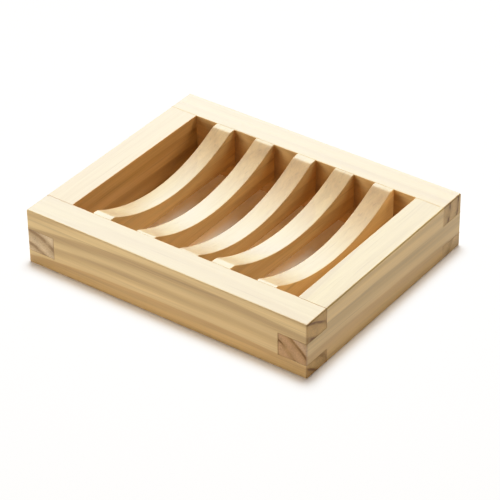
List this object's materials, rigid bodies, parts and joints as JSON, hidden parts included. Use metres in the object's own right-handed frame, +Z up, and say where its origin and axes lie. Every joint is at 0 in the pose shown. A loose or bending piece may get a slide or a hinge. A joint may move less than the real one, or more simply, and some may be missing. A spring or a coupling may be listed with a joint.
{
  "type": "soap dish",
  "caption": "Rectangular wooden soap dish: a finger-jointed frame with hollowed slats across it and open drain gaps between them.",
  "frame": {"origin": "middle of the dish at the level of the surface that it stands on", "axes": "+X along the long side towards the right, +Y towards the back, +Z up"},
  "size_m": [0.123, 0.0984, 0.0228],
  "materials": {
    "long_rail_wood": "fine sanded, unvarnished",
    "short_rail_wood": "fine sanded, unvarnished",
    "slat_wood": "fine sanded, unvarnished"
  },
  "bodies": {
    "root": {"front_rail": "long_rail_wood", "back_rail": "long_rail_wood", "left_rail": "short_rail_wood", "right_rail": "short_rail_wood", "slat_1": "slat_wood", "slat_2": "slat_wood", "slat_3": "slat_wood", "slat_4": "slat_wood", "slat_5": "slat_wood"}
  },
  "joints": []
}
